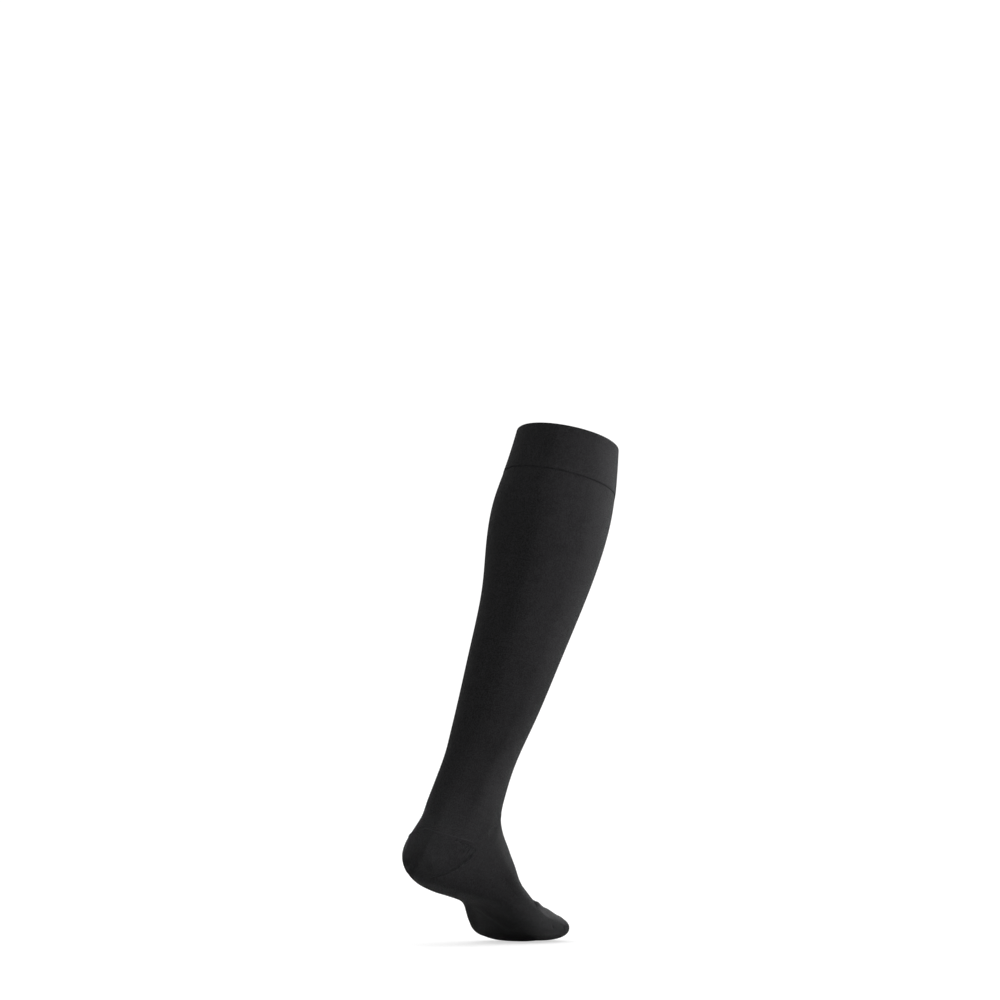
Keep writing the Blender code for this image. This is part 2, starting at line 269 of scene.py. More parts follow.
# %% [markdown]
# ## Where the zones meet
# The top band ends at the course where its inner layer is linked down. The heel pocket is knitted on the
# back half of the needles alone, so it is a wedge that runs to a corner on either side of the foot. Its
# upper and lower edges are two curves between those corners, and in front of the corners the leg runs on
# into the foot without a break. Each edge is a small formula of the angle round the tube.

# %% Edges of the zones
CORNER_ANGLE = 360.0 * 10 / 38      # the tenth of the solids' 38 columns
CORNER_ROW = 11.90
POCKET_TOP_ROW = 10.70      # at the back
POCKET_LOW_ROW = 12.86
POCKET_TOP_BEND = 0.62      # smaller is blunter at the corner
POCKET_LOW_BEND = 0.31
TOE_ROW = 18.9              # where the toe pocket is linked to the foot


def from_front(angle):
    """Degrees round from the front, the same on both sides."""
    return np.degrees(np.abs((angle + pi) % (2 * pi) - pi))


def pocket_share(angle):
    """0 at the pocket's corners and 1 at the back."""
    return np.clip((from_front(angle) - CORNER_ANGLE) / (180.0 - CORNER_ANGLE), 0.0, 1.0)


def pocket_top(angle):
    return CORNER_ROW + (POCKET_TOP_ROW - CORNER_ROW) * pocket_share(angle) ** POCKET_TOP_BEND


def pocket_low(angle):
    return CORNER_ROW + (POCKET_LOW_ROW - CORNER_ROW) * pocket_share(angle) ** POCKET_LOW_BEND


print("the band is linked at rows", np.round(band_row(SIDES), 2))

# %% [markdown]
# ## Columns and rows of points
# All zones share the same columns of points round the tube, so that neighbours meet point to point and the
# tube looks unbroken. The heel's corners carry the smallest folds, so the columns crowd together there. An
# easing curve does this: it is steep far from a corner and flat close to it. Rows crowd in the same way
# next to a seam.

# %% Columns that crowd at the heel's corners
FRONT_COLUMNS = 76      # from the front to a corner
BACK_COLUMNS = 64       # from a corner to the back
CROWDING = 0.6


def crowd(count):
    """0 to 1 in count steps that shorten towards the end."""
    s = np.linspace(0.0, 1.0, count + 1)
    return s * (1.0 + CROWDING) - CROWDING * s * s


def column_angles():
    front = CORNER_ANGLE * crowd(FRONT_COLUMNS)
    back = 180.0 - (180.0 - CORNER_ANGLE) * crowd(BACK_COLUMNS)
    half = np.concatenate((front, back[::-1][1:]))
    return np.radians(np.concatenate((half, (360.0 - half[::-1])[1:-1])))


ANGLES = column_angles()
POCKET_COLUMNS = slice(FRONT_COLUMNS, FRONT_COLUMNS + 2 * BACK_COLUMNS + 1)
print("columns:", len(ANGLES), "closest:", round(float(np.degrees(np.diff(ANGLES)).min()), 2), "degrees")

# %% Rows along the columns
LENGTH_STEPS = 240


def all_round(values):
    """The same value in every column of the tube."""
    values = np.asarray(values, float)
    return np.broadcast_to(values[..., None], (*values.shape, len(ANGLES)))


def crowd_ends(count, first=0.0, last=0.0):
    """Shares from 0 to 1 in count places, closer together at an end whose crowding is over 0."""
    s = np.linspace(0.0, 1.0, count)
    eased = s + first * (s * s - s) * (1.0 - s) + last * (s - s * s) * s
    return eased / eased[-1]


def rows_along(angles, start, end, shares, trim_first=0.0):
    """Rows of the form at these shares of each column's length, and the lengths in millimetres."""
    fine = start + (end - start) * np.linspace(0.0, 1.0, LENGTH_STEPS)[:, None]
    points = form(fine, angles[None, :])
    steps = np.linalg.norm(np.diff(points, axis=0), axis=-1)
    length = np.concatenate((np.zeros((1, len(angles))), np.cumsum(steps, axis=0)))
    rows = np.empty((len(shares), len(angles)))
    for j in range(len(angles)):
        wanted = trim_first + shares * (length[-1, j] - trim_first)
        rows[:, j] = np.interp(wanted, length[:, j], fine[:, j])
    return rows, length[-1]


_, leg_lengths = rows_along(ANGLES, band_row(ANGLES), pocket_top(ANGLES), crowd_ends(5))
print("leg in front and at its longest, mm:", round(leg_lengths[0]), round(leg_lengths.max()))

# %% [markdown]
# ## Folds listed one by one
# Knit this tight hardly folds. What shows is the fold where the ankle bends, a ridge over the heel pocket,
# a ridge behind the ball of the foot, and small puckers where stitches were taken together at a corner.
# Noise would scatter folds anywhere, and these belong to their places. So each one is a row: a path through
# three places on the form, a half width and a height in millimetres. A height under 0 is a trough. A bell
# curve across the path and a slow fade towards its ends keep them soft.

# %% The folds
CREASE_COLUMNS = ("row_a", "angle_a", "row_b", "angle_b", "row_c", "angle_c", "width", "height")
CREASES = (
    # where the ankle bends, outer side, front and inner side
    (11.42, -93, 10.85, -85, 9.95, -68, 3.2, 0.9),
    (11.3, -80, 10.95, -68, 10.45, -53, 3.0, -1.4),
    (12.0, -78, 11.8, -66, 11.5, -54, 4.0, 0.45),
    (9.95, -68, 9.7, -58, 9.55, -46, 3.6, 0.5),
    (10.4, -60, 10.2, 2, 10.5, 60, 3.4, -0.55),
    (11.6, -40, 11.4, 4, 11.65, 46, 4.4, 0.35),
    (9.1, -38, 8.8, 8, 9.2, 52, 4.8, 0.25),
    (10.1, 64, 10.95, 80, 11.5, 92, 2.6, -0.38),
    # the ridge over the heel pocket
    (10.66, -168, 11.02, -134, 11.6, -95, 1.1, 0.75),
    (11.6, -97, 11.58, -92, 11.3, -88, 0.9, 0.5),
    (10.7, 163, 11.08, 132, 11.58, 96, 1.2, 0.65),
    # above the heel
    (9.55, 152, 9.7, 178, 9.58, 212, 3.4, -0.18),
    (10.05, 163, 10.18, 186, 10.02, 205, 2.6, -0.12),
    (8.9, -150, 9.6, -127, 10.25, -104, 3.6, 0.14),
    (8.8, 146, 9.5, 121, 10.1, 99, 4.2, 0.18),
    # along the pocket's edges, outer side
    (11.96, -97, 12.18, -105, 12.36, -116, 0.6, 0.6),
    (12.04, -95, 12.42, -109, 12.62, -127, 0.75, -1.6),
    (12.6, -122, 12.72, -142, 12.84, -170, 0.8, -0.9),
    # stitches taken together near the corner, outer side
    (11.2, -129, 11.27, -126, 11.33, -123, 0.6, -1.0),
    (11.37, -120, 11.44, -117, 11.5, -114, 0.6, -1.25),
    (11.54, -111, 11.6, -108, 11.66, -105, 0.55, -1.05),
    (11.62, -111, 11.71, -113, 11.81, -116, 0.5, -0.9),
    (11.7, -106, 11.85, -110, 11.99, -114, 0.55, -1.25),
    (11.8, -101, 11.96, -105, 12.12, -110, 0.5, -1.0),
    (12.02, -131, 12.2, -126, 12.36, -122, 0.8, -0.35),
    (12.14, -140, 12.34, -134, 12.5, -130, 0.9, -0.28),
    # the same on the inner side, never quite alike
    (11.98, 97, 12.2, 105, 12.4, 117, 0.65, 0.5),
    (12.06, 95, 12.44, 109, 12.6, 128, 0.75, -1.35),
    (12.6, 124, 12.7, 140, 12.8, 166, 1.0, -0.5),
    (11.34, 121, 11.42, 117.5, 11.5, 114, 0.6, -0.95),
    (11.56, 110, 11.63, 107, 11.7, 104, 0.6, -0.65),
    (11.76, 104, 11.9, 108, 12.06, 113, 0.55, -0.95),
    # under the arch and behind the ball of the foot
    (13.4, -172, 14.1, 174, 14.9, 152, 5.0, 0.2),
    (15.05, 160, 15.95, 174.5, 17.0, 193, 1.6, 0.4),
    (15.0, 165, 15.9, 179, 17.05, 197, 4.6, 1.5),
    # sides of the foot
    (12.9, -96, 13.9, -112, 15.0, -128, 3.2, 0.14),
    (13.1, 104, 14.2, 112, 15.4, 128, 5.2, -0.2),
    # where the toes bend
    (16.3, -74, 16.15, -4, 16.4, 62, 3.2, -0.35),
    (16.2, -49, 16.85, -56, 17.12, -62, 2.3, -2.2),
    (16.95, -66, 17.5, -57, 18.6, -44, 3.6, 2.6),
    (17.6, -56, 18.6, -44, 19.7, -36, 4.6, 1.8),
    (17.25, 112, 17.65, 121, 17.98, 137, 3.2, 0.9),
    (17.9, -40, 17.82, 6, 18.1, 56, 3.6, 0.3),
    (17.15, -73, 18.1, -76, 19.2, -79, 2.0, 0.4),
    (18.28, -89, 18.38, -95, 18.5, -101, 0.9, -0.85),
    (18.52, -97, 18.62, -99, 18.74, -101, 0.7, -0.45),
    (19.2, -89, 19.38, -97, 19.58, -107, 0.85, -0.45),
    (18.46, 82, 18.6, 93, 18.7, 103, 1.05, -0.6),
    (19.3, 84, 19.44, 94, 19.56, 104, 0.9, -0.4),
    # the leg: long and hardly there, and a nick under the band
    (2.2, -152, 4.3, -147, 6.5, -138, 9.0, 0.2),
    (2.0, 118, 4.5, 128, 6.8, 136, 10.0, -0.2),
    (2.6, -20, 5.0, -26, 7.4, -34, 8.0, 0.2),
    (1.24, -150, 1.27, -146, 1.29, -142, 0.8, -0.4),
)
CREASE_STEPS = 56
CREASE_FADE = 0.6       # smaller keeps a fold strong nearer to its ends
REACH = 3.0             # widths past which a fold adds nothing
print("folds:", len(CREASES))

# %% How far the cloth stands off the form


def through_three(share, first, middle, last):
    """The smooth curve through three values, at shares from 0 to 1 of the way."""
    near, far = (1 - share) * (1 - 2 * share), share * (2 * share - 1)
    return near * first + 4 * share * (1 - share) * middle + far * last


def crease_path(crease):
    """Points in mm along a fold, and how strong it is at each."""
    share = np.linspace(0.0, 1.0, CREASE_STEPS)
    row = through_three(share, crease["row_a"], crease["row_b"], crease["row_c"])
    angle = through_three(share, crease["angle_a"], crease["angle_b"], crease["angle_c"])
    return form(row, np.radians(angle)), np.sin(pi * share) ** CREASE_FADE


def add_crease(points, height, crease):
    """Add one fold to the height at each point it reaches."""
    path, fade = crease_path(crease)
    reach = REACH * crease["width"]
    close = np.all((points > path.min(axis=0) - reach) & (points < path.max(axis=0) + reach), axis=1)
    if not close.any():
        return
    gaps = np.linalg.norm(points[close][:, None, :] - path[None, :, :], axis=-1)
    nearest = gaps.argmin(axis=1)
    away = gaps.min(axis=1) / crease["width"]
    height[close] += crease["height"] * fade[nearest] * np.exp(-away ** 2)


def relief(rows, angles):
    """Millimetres that the cloth stands off the form at each row and angle."""
    points = form(rows, angles)
    height = np.zeros(points.shape[:-1]).reshape(-1)
    for crease in CREASES:
        add_crease(points.reshape(-1, 3), height, dict(zip(CREASE_COLUMNS, crease)))
    return height.reshape(points.shape[:-1])


def skin(rows, angles, inward=0.0, extra=0.0):
    """Points of the cloth in mm: the form, its folds, and a distance in or out along the normal."""
    rows, angles = np.broadcast_arrays(rows, angles)
    stand = relief(rows, angles) + extra - inward
    return form(rows, angles) + outward_normal(rows, angles) * np.asarray(stand)[..., None]


print("deepest fold, mm:", min(crease[-1] for crease in CREASES))

# %% [markdown]
# ## Knit
# The yarn makes columns of V-shaped stitches, called wales, and rounds, called courses. A round of this
# stocking has a few hundred stitches, each a millimetre wide at most, so modelled loops would be lost and
# far too heavy. A bump made from two waves does it: one across a wale, and one along it that slants
# outwards. The map called knit counts wales across and courses along, so the stitches stretch and close up
# with the cloth.

# %% Numbers of the knit, and helpers for nodes
WALES = 336
COURSE = 0.55           # mm along the leg for each course
HEEL_COURSE = 0.45
LIMB_FULLNESS = 0.6     # smaller makes the two limbs of a stitch fuller
LIMB_SLANT = 0.55       # courses that a limb climbs from the middle of its wale to the side
LOOP_DIP = 0.45         # share of the height that is lost between two courses
# painted shade and highlight: the stitches' height darkens the colour between them and lightens their tops
STITCH_SHADE = 0.3       # how much a stitch's height lightens it
SPECKS = 1200.0         # to a metre
SPECK_MIDDLE = 0.46
SPECK_CONTRAST = 3.6
CLOUDS = 60.0           # slow changes of tone to a metre
CLOUD_TONE = 0.4


def wire(tree, start, end):
    tree.links.new(start, end)


def math_node(tree, operation, first, second=None):
    """A Math node whose inputs are sockets or numbers."""
    node = tree.nodes.new("ShaderNodeMath")
    node.operation = operation
    for socket, value in zip(node.inputs, (first, second)):
        if isinstance(value, bpy.types.NodeSocket):
            wire(tree, value, socket)
        elif value is not None:
            socket.default_value = value
    return node.outputs[0]


def noise_node(tree, vector, scale, detail=2.0):
    node = tree.nodes.new("ShaderNodeTexNoise")
    node.inputs["Scale"].default_value = scale
    node.inputs["Detail"].default_value = detail
    wire(tree, vector, node.inputs["Vector"])
    return node.outputs["Fac"]


print("course, mm:", COURSE, "and on the heel", HEEL_COURSE)

# %% The stitch as a node group


def fine_knit_group():
    """Knit, Place and Streaks in, the stitches' Height and a Tone from 0 to 1 out, which holds painted
    shade between stitches.
    """
    tree = bpy.data.node_groups.new("fine knit", "ShaderNodeTree")
    maths = partial(math_node, tree)
    for name, way, kind in (("Knit", "INPUT", "Vector"), ("Place", "INPUT", "Vector"),
                            ("Streaks", "INPUT", "Float"), ("Height", "OUTPUT", "Float"),
                            ("Tone", "OUTPUT", "Float")):
        tree.interface.new_socket(name, in_out=way, socket_type="NodeSocket" + kind)
    source, result = tree.nodes.new("NodeGroupInput"), tree.nodes.new("NodeGroupOutput")
    split = tree.nodes.new("ShaderNodeSeparateXYZ")
    wire(tree, source.outputs["Knit"], split.inputs[0])
    across, along = split.outputs["X"], split.outputs["Y"]
    # 0 in the middle of a wale, 1 between two
    side = maths("SUBTRACT", maths("FRACT", across), 0.5)
    side = maths("MULTIPLY", maths("ABSOLUTE", side), 2.0)
    limb = maths("SINE", maths("MULTIPLY", side, pi))
    limb = maths("POWER", limb, LIMB_FULLNESS)
    slanted = maths("FRACT", maths("ADD", along, maths("MULTIPLY", side, LIMB_SLANT)))
    loop = maths("SINE", maths("MULTIPLY", slanted, pi))
    loop = maths("ADD", maths("MULTIPLY", loop, LOOP_DIP), 1.0 - LOOP_DIP)
    stitch = maths("MULTIPLY", limb, loop)
    specks = noise_node(tree, source.outputs["Place"], SPECKS, detail=1.0)
    wire(tree, maths("ADD", stitch, specks), result.inputs["Height"])
    # the yarn is never quite even from wale to wale and course to course
    wale_yarn, course_yarn = (tree.nodes.new("ShaderNodeTexWhiteNoise") for _ in range(2))
    for node, value in ((wale_yarn, across), (course_yarn, along)):
        node.noise_dimensions = "1D"
        wire(tree, maths("FLOOR", value), node.inputs["W"])
    yarn = maths("ADD", wale_yarn.outputs["Value"], course_yarn.outputs["Value"])
    yarn = maths("MULTIPLY", maths("SUBTRACT", yarn, 1.0), source.outputs["Streaks"])
    cloud = noise_node(tree, source.outputs["Place"], CLOUDS, detail=3.0)
    speckle = maths("MULTIPLY", maths("SUBTRACT", specks, SPECK_MIDDLE), SPECK_CONTRAST)
    # tone is painted shade of the stitches' relief, plus random specks, streaks and clouds of yarn tone
    tone = maths("ADD", maths("MULTIPLY", stitch, STITCH_SHADE), speckle)
    tone = maths("ADD", maths("ADD", tone, yarn), maths("MULTIPLY", cloud, CLOUD_TONE))
    wire(tree, tone, result.inputs["Tone"])
    return tree


FINE_KNIT = fine_knit_group()
print("group:", FINE_KNIT.name, "nodes:", len(FINE_KNIT.nodes))

# %% [markdown]
# ## Finishes
# Black elastic yarn is dull seen straight on, and lighter where the surface turns away, because its fine
# fibres catch the light there. A rough base with a little sheen gives both. The heel's yarn is denser, a
# touch darker and a little more even. The band is knitted from the leg's yarn, and it has a material of its
# own so that its finish can be changed alone.

# %% What all the yarn has in common
SPECULAR = 0.015
SHEEN = 0.023
SHEEN_ROUGHNESS = 0.2
WHITE = (1.0, 1.0, 1.0, 1.0)
BUMP = 0.5


def yarn_base(name):
    """A material with the dull sheen of black elastic yarn, its nodes and its shader."""
    material = bpy.data.materials.new(name)
    material.use_nodes = True
    shader = material.node_tree.nodes["Principled BSDF"]
    shader.inputs["Metallic"].default_value = 0.0
    shader.inputs["Specular IOR Level"].default_value = SPECULAR
    shader.inputs["Sheen Weight"].default_value = SHEEN
    shader.inputs["Sheen Roughness"].default_value = SHEEN_ROUGHNESS
    shader.inputs["Sheen Tint"].default_value = WHITE
    return material, material.node_tree, shader


def colour_between(tree, shader, dark, light, tone):
    """Base colour from dark to light by a tone from 0 to 1."""
    colour = tree.nodes.new("ShaderNodeMix")
    colour.data_type = "RGBA"
    colour.inputs["A"].default_value = (*dark, 1.0)
    colour.inputs["B"].default_value = (*light, 1.0)
    wire(tree, tone, colour.inputs["Factor"])
    wire(tree, colour.outputs["Result"], shader.inputs["Base Color"])


def raise_surface(tree, shader, height, distance):
    """A bump from a height, with the distance in metres that a height of 1 stands for."""
    bump = tree.nodes.new("ShaderNodeBump")
    bump.inputs["Strength"].default_value = BUMP
    bump.inputs["Distance"].default_value = distance
    wire(tree, height, bump.inputs["Height"])
    wire(tree, bump.outputs["Normal"], shader.inputs["Normal"])


print("sheen:", SHEEN)

# %% Knit materials
STITCH_HEIGHT = 0.25 * MM
KNIT_DULLEST = 0.95     # roughness where the tone is 0
KNIT_SMOOTHEST = 0.82   # and where it is 1
STREAKS = 0.12
HEEL_STREAKS = 0.10


def knit_material(name, dark, light, streaks):
    material, tree, shader = yarn_base(name)
    stitches = tree.nodes.new("ShaderNodeUVMap")
    stitches.uv_map = "knit"
    place = tree.nodes.new("ShaderNodeTexCoord")
    knit = tree.nodes.new("ShaderNodeGroup")
    knit.node_tree = FINE_KNIT
    knit.inputs["Streaks"].default_value = streaks
    wire(tree, stitches.outputs["UV"], knit.inputs["Knit"])
    wire(tree, place.outputs["Object"], knit.inputs["Place"])
    colour_between(tree, shader, dark, light, knit.outputs["Tone"])
    dull = tree.nodes.new("ShaderNodeMapRange")
    dull.inputs["To Min"].default_value = KNIT_DULLEST
    dull.inputs["To Max"].default_value = KNIT_SMOOTHEST
    wire(tree, knit.outputs["Tone"], dull.inputs["Value"])
    wire(tree, dull.outputs["Result"], shader.inputs["Roughness"])
    raise_surface(tree, shader, knit.outputs["Height"], STITCH_HEIGHT)
    return material


LEG_DARK, LEG_LIGHT = (0.0044, 0.0044, 0.0046), (0.0107, 0.0107, 0.0112)
HEEL_DARK, HEEL_LIGHT = (0.0042, 0.0042, 0.0044), (0.0100, 0.0100, 0.0105)
LEG_KNIT = knit_material("leg_knit", LEG_DARK, LEG_LIGHT, STREAKS)
HEEL_KNIT = knit_material("heel_knit", HEEL_DARK, HEEL_LIGHT, HEEL_STREAKS)
BAND_KNIT = knit_material("band_knit", LEG_DARK, LEG_LIGHT, STREAKS)
print("materials:", [m.name for m in (LEG_KNIT, HEEL_KNIT, BAND_KNIT)])

# %% [markdown]
# ## From rings of points to a cloth piece
# A cloth piece here is a thin closed shell: rings of points down its outer face and back up its inner face.
# Joining rings by hand gives full control of where the points lie and of the knit map, which a Solidify
# modifier on a bent tube would smear at the edges.

# %% Shells
SHARP = 50.0            # degrees past which an edge is not shaded smooth
SAME_POINT = 0.001 * MM


def wale_counts(wrap):
    """Wales counted at both sides of every strip between two columns."""
    counts = ANGLES / (2 * pi) * WALES
    if wrap:
        return counts, np.append(counts[1:], WALES)
    counts = counts[POCKET_COLUMNS]
    return counts[:-1], counts[1:]


def add_object(name, data):
    thing = bpy.data.objects.new(name, data)
    bpy.context.collection.objects.link(thing)
    return thing


def add_piece(name, mesh, material):
    """A mesh as a piece of the stocking, which is all one body."""
    mesh.materials.append(material)
    piece = add_object(name, mesh)
    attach(piece, "root")
    return piece


def cloth_piece(name, rings, courses, material, wrap=True, closed=True):
    """A shell from rings (count, columns, 3) in mm, with the courses counted at every point."""
    count, wide = rings.shape[:2]
    strips = wide if wrap else wide - 1
    here = np.arange(count if closed else count - 1)[:, None]
    below = (here + 1) % count
    left = np.arange(strips)[None, :]
    right = (left + 1) % wide
    corners = ((here, left), (below, left), (below, right), (here, right))
    quads = np.stack([r * wide + c for r, c in corners], axis=-1).reshape(-1, 4)
    near, far = wale_counts(wrap)
    u = np.broadcast_to(np.stack((near, near, far, far), axis=-1), (len(here), strips, 4))
    v = np.stack([courses[r, c] for r, c in corners], axis=-1)
    mesh = bpy.data.meshes.new(name)
    mesh.from_pydata((rings.reshape(-1, 3) * MM).tolist(), [], quads.tolist())
    stitches = mesh.uv_layers.new(name="knit")
    stitches.data.foreach_set("uv", np.stack((u, v), axis=-1).astype(np.float32).ravel())
    bm = bmesh.new()
    bm.from_mesh(mesh)
    bmesh.ops.remove_doubles(bm, verts=bm.verts, dist=SAME_POINT)
    bm.to_mesh(mesh)
    bm.free()
    mesh.shade_smooth()
    mesh.set_sharp_from_angle(angle=radians(SHARP))
    return add_piece(name, mesh, material)


def triangles(piece):
    return sum(len(p.vertices) - 2 for p in piece.data.polygons)


print("wales round the tube:", WALES)

# %% [markdown]
# ## The cut
# Off the leg this stocking is much narrower: the elastic yarn is stretched by about a third round the leg
# and hardly at all along it.


# %% [markdown]
# ## The leg
# The leg is the graduated tube: widest round the calf and narrowest over the ankle, with the tightest knit
# where it presses most. Its outer face needs close rings for the folds, and its inner face, seen only
# through the mouth, needs far fewer. At the top it dips into the groove of the linking course.

# %% Leg cloth
LEG_RINGS = 200
INSIDE_RINGS = 50
ZONE_END = 0.8          # how much the rings crowd where a zone ends
SEAM_DEPTH = 0.24       # groove of the linking course
SEAM_DEEPEST = -160.0   # angle at which the band sits tightest
SEAM_WIDTH = 0.55       # mm over which the groove fades
SLACK = 0.25            # tightness of the linking course on the far side
SEAM_WAVES = ((0.25, 5, 0.6), (0.15, 17, 2.0))      # height, count round the leg, start


def tightness(angles):
    """How hard the linking course draws in: 1 at its deepest, and SLACK on the far side."""
    return SLACK + (1.0 - SLACK) * (0.5 + 0.5 * np.cos(angles - radians(SEAM_DEEPEST))) ** 2


def seam_groove(distance, angles):
    """Depth of the groove at this distance from the linking course, uneven round the leg."""
    uneven = 1.0
    for height, count, start in SEAM_WAVES:
        uneven = uneven + height * np.sin(count * angles + start)
    return SEAM_DEPTH * uneven * tightness(angles) * np.exp(-(distance / SEAM_WIDTH) ** 2)


def tube_zone(name, start, end, outer_shares, inner_shares, material, groove=False):
    """A zone that is a whole tube, as a cloth piece."""
    outer_rows, lengths = rows_along(ANGLES, start, end, outer_shares)
    inner_rows, _ = rows_along(ANGLES, start, end, inner_shares)
    dip = seam_groove(outer_shares[:, None] * lengths, ANGLES) if groove else 0.0
    outer = skin(outer_rows, ANGLES, extra=-dip)
    inner = skin(inner_rows, ANGLES, inward=WALL)
    rounds = lengths.mean() / COURSE
    courses = all_round(np.concatenate((outer_shares, inner_shares[::-1])) * rounds)
    piece = cloth_piece(name, np.concatenate((outer, inner[::-1])), courses, material)
    return piece


leg_cloth = tube_zone("leg_cloth", band_row(ANGLES), pocket_top(ANGLES),
                      crowd_ends(LEG_RINGS, first=ZONE_END, last=ZONE_END), crowd_ends(INSIDE_RINGS),
                      LEG_KNIT, groove=True)
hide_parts("leg")
print("leg triangles:", triangles(leg_cloth))

# %% [markdown]
# ## The foot and the closed toe
# The foot is the same tube as the leg, from the pocket's lower edge on. The toe ends it in a round, like
# the end of a bag: its rings shrink to a single point, outside and inside.

# %% Foot cloth
FOOT_RINGS = 150
foot_cloth = tube_zone("foot_cloth", pocket_low(ANGLES), all_round(TOE_ROW),
                       crowd_ends(FOOT_RINGS, first=ZONE_END), crowd_ends(INSIDE_RINGS), LEG_KNIT)
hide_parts("foot")
print("foot triangles:", triangles(foot_cloth))

# %% Toe cloth
TOE_RINGS = 70
TIP_ROW = LAST_ROW + 1.0
TIP_SHARE = 0.988       # the last ring, just short of the tip


def toe_zone():
    shares = crowd_ends(TOE_RINGS, last=0.6) * TIP_SHARE
    rows, lengths = rows_along(ANGLES, all_round(TOE_ROW), all_round(TIP_ROW), shares)
    outer = skin(rows, ANGLES)
    inner = skin(rows[::2], ANGLES, inward=WALL)
    tip = np.broadcast_to(form(TIP_ROW, 0.0), (1, len(ANGLES), 3))
    inner_tip = tip + np.array((0.0, WALL, 0.0))
    places = np.concatenate(((1.0,), shares[::2][::-1], shares, (1.0,)))
    courses = all_round(places * lengths.mean() / COURSE)
    rings = np.concatenate((inner_tip, inner[::-1], outer, tip))
    piece = cloth_piece("toe_cloth", rings, courses, LEG_KNIT, closed=False)
    return piece


toe_cloth = toe_zone()
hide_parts("toe")
print("toe triangles:", triangles(toe_cloth))

# %% [markdown]
# ## The heel pocket
# The pocket is knitted back and forth, with fewer stitches in each course and then more again, which makes
# a cup. Its yarn is thicker, so it stands a little proud inside its edges. Its courses keep their height
# and run out against the edges, so the knit map counts them from the pocket's middle.

# %% Heel cloth
HEEL_RINGS = 96
HEEL_PROUD = 0.25       # mm
EDGE_ROUND = 1.2        # mm over which the pocket rises from its edge


def heel_zone():
    angles = ANGLES[POCKET_COLUMNS]
    shares = crowd_ends(HEEL_RINGS, first=0.5, last=0.5)
    rows, lengths = rows_along(angles, pocket_top(angles), pocket_low(angles), shares)
    down = shares[:, None] * lengths
    up = (1.0 - shares[:, None]) * lengths
    rise = (1.0 - np.exp(-(down / EDGE_ROUND) ** 2)) * (1.0 - np.exp(-(up / EDGE_ROUND) ** 2))
    outer = skin(rows, angles, extra=HEEL_PROUD * rise)
    inner = skin(rows[::2], angles, inward=WALL)
    courses = (down - lengths / 2) / HEEL_COURSE
    courses = np.concatenate((courses, courses[::2][::-1]))
    rings = np.concatenate((outer, inner[::-1]))
    piece = cloth_piece("heel_cloth", rings, courses, HEEL_KNIT, wrap=False)
    return piece


heel_cloth = heel_zone()
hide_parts("heel")
print("heel triangles:", triangles(heel_cloth))

# %% [markdown]
# ## The top band
# The band is knitted twice as high as it shows and turned over, so its two layers end in a soft round at
# the mouth. Its inner layer is linked down to the leg along one course. The two layers stand a little proud
# of the leg and round in to the linking course, which leaves a fine dark line there.

# %% Band cloth
BAND_RINGS = 54
FOLD_RINGS = 9
FOLD_SHARE = 0.03       # of the band's height, taken up by the turn at the mouth
BAND_EDGE = 0.5         # mm over which the band's lower edge rounds in


def band_zone():
    radius, middle = WALL / 2 + BAND_PROUD, WALL / 2
    start, end = edge_row(ANGLES), band_row(ANGLES)
    shares = crowd_ends(BAND_RINGS, first=0.4, last=ZONE_END)
    outer_rows, lengths = rows_along(ANGLES, start, end, shares, radius)
    to_seam = (1.0 - shares[:, None]) * (lengths - radius)
    edge = BAND_EDGE / tightness(ANGLES)
    proud = BAND_PROUD * (1.0 - np.exp(-(to_seam / edge) ** 2)) - seam_groove(to_seam, ANGLES)
    outer = skin(outer_rows, ANGLES, extra=proud)
    inner = skin(outer_rows[::2], ANGLES, inward=WALL + BAND_PROUD)
    fold = []
    for turn in np.linspace(0.0, pi, FOLD_RINGS + 2)[1:-1]:
        edge_rows, _ = rows_along(ANGLES, start, end, np.zeros(1), radius * (1.0 - np.sin(turn)))
        fold.append(skin(edge_rows, ANGLES, inward=middle + radius * np.cos(turn)))
    turned = np.linspace(2.0, 2.0 + FOLD_SHARE, FOLD_RINGS)
    places = np.concatenate((shares, 2.0 - shares[::2][::-1], turned))
    courses = all_round(places * (lengths.mean() / COURSE))
    rings = np.concatenate([outer, inner[::-1]] + fold)
    piece = cloth_piece("band_cloth", rings, courses, BAND_KNIT)
    return piece


band_cloth = band_zone()
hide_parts("top_band")
print("band triangles:", triangles(band_cloth))

# %% [markdown]
# ## Loops where zones are joined
# Where courses are linked or picked up, the loops lie larger than in plain knit and can be seen one by one:
# along the band's linking course, along the pocket's edges, and in the closing row over the toes. Each loop
# shows as two slanted grains of yarn. One rounded grain is worked out once, then copied along each line
# into one joined mesh. Its yarn is as dark as the knit where courses are linked. On the ridge over the
# pocket its colour is lighter, a painted highlight where the ridge catches the light, and under the pocket
# it is darker, painted shade where the loops lie in the groove.

# %% Yarn for the linking
YARN_ROUGHNESS = 0.9
FIBRES = 2500.0         # to a metre
FIBRE_HEIGHT = 0.1 * MM


def yarn_material(name, dark, light):
    material, tree, shader = yarn_base(name)
    shader.inputs["Roughness"].default_value = YARN_ROUGHNESS
    place = tree.nodes.new("ShaderNodeTexCoord")
    fibres = noise_node(tree, place.outputs["Object"], FIBRES)
    colour_between(tree, shader, dark, light, fibres)
    raise_surface(tree, shader, fibres, FIBRE_HEIGHT)
    return material


LINKING_YARN = yarn_material("linking_yarn", (0.0050, 0.0050, 0.0053), (0.0110, 0.0110, 0.0115))
# a lighter yarn colour: painted highlight for the loops on the lit ridge over the pocket
RIDGE_HIGHLIGHT_YARN = yarn_material("ridge_highlight_yarn", (0.0075, 0.0075, 0.0078), (0.0162, 0.0162, 0.0168))
